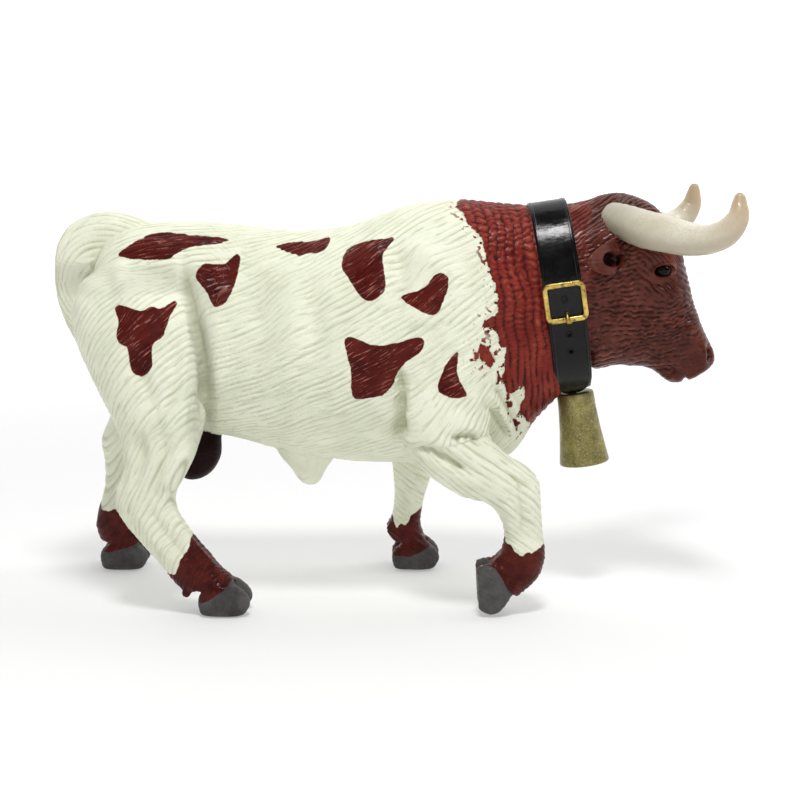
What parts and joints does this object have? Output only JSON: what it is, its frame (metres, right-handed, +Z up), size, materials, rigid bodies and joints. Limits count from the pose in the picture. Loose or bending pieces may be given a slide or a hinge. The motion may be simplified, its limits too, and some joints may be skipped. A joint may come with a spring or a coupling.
{
  "type": "bull figurine",
  "caption": "Solid plastic bull standing with one fore hoof lifted, long forward horns, a buckled neck strap and a hanging bell.",
  "frame": {"origin": "on the ground under the middle of the figure's bounding box", "axes": "+Z up, +X the way the bull faces, -Y its right side, which the picture shows"},
  "size_m": [0.1581, 0.0644, 0.0969],
  "materials": {
    "cream_hide": "satin, carved hair, dark red patches painted over the cream",
    "brown_head": "glossy dark red-brown, carved curls",
    "leg_paint": "satin cream with dark red-brown socks and dark grey hooves",
    "dark_skin": "glossy, nearly black brown",
    "horn_ivory": "satin ivory with pinkish tan tips",
    "black_strap": "glossy black like patent leather",
    "brass_paint": "worn brass paint",
    "bell_bronze": "speckled olive brass paint, satin"
  },
  "bodies": {
    "root": {"torso": "cream_hide", "head": "brown_head", "foreleg_right": "leg_paint", "foreleg_left": "leg_paint", "hindleg_right": "leg_paint", "hindleg_left": "leg_paint", "tail": "cream_hide", "scrotum": "dark_skin", "horn_right": "horn_ivory", "horn_left": "horn_ivory", "ear_right": "brown_head", "ear_left": "brown_head", "collar_strap": "black_strap", "buckle_frame": "brass_paint", "buckle_prong": "brass_paint", "bell": "bell_bronze"}
  },
  "joints": []
}
